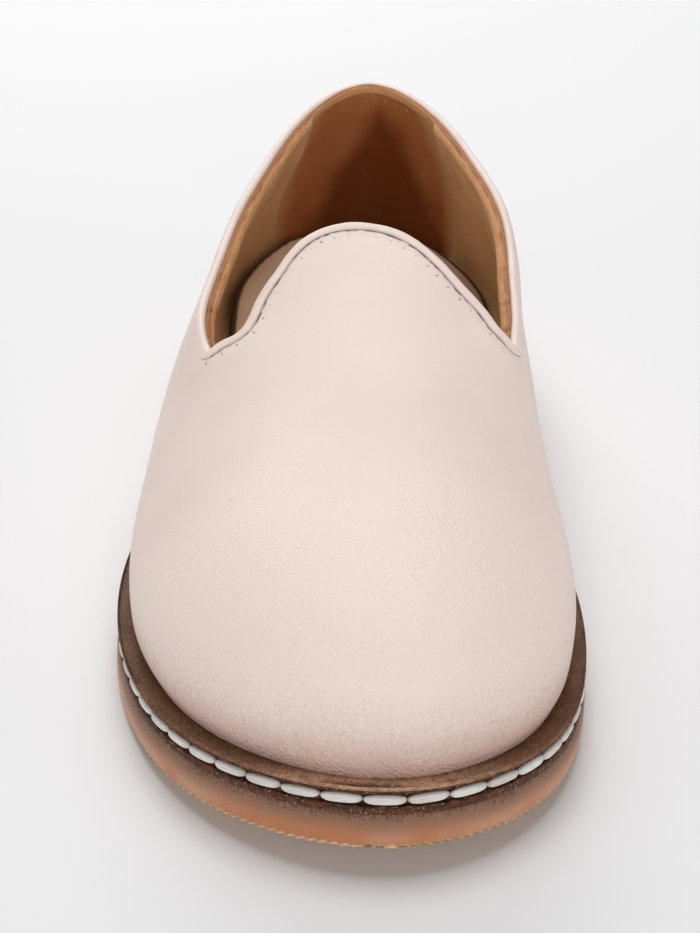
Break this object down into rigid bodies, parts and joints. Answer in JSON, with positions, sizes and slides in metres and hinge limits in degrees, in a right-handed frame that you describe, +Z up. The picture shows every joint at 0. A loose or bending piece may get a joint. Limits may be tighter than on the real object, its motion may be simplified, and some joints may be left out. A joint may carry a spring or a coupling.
{
  "type": "flat slip-on shoe",
  "caption": "Flat slip-on shoe for the right foot: hollow leather upper with a bell-shaped throat and bound collar, stitched leather midsole and rubber outsole.",
  "frame": {"origin": "centre of the shoe's bounding box, on the floor plane that the tread stands on", "axes": "+Z up from the floor, -Y from heel to toe, +X towards the medial side of the foot"},
  "size_m": [0.0958, 0.2582, 0.0734],
  "materials": {
    "gum_rubber": "satin amber gum rubber",
    "brown_board": "matt dark brown leather board with a fibrous edge",
    "taupe_leather": "matt taupe leather",
    "pink_leather": "fine-grained pale pink leather, half matt",
    "pink_binding": "rolled pale pink leather, half matt"
  },
  "bodies": {
    "root": {"outsole": "gum_rubber", "midsole": "brown_board", "insole": "taupe_leather", "upper": "pink_leather", "collar_binding": "pink_binding"}
  },
  "joints": []
}
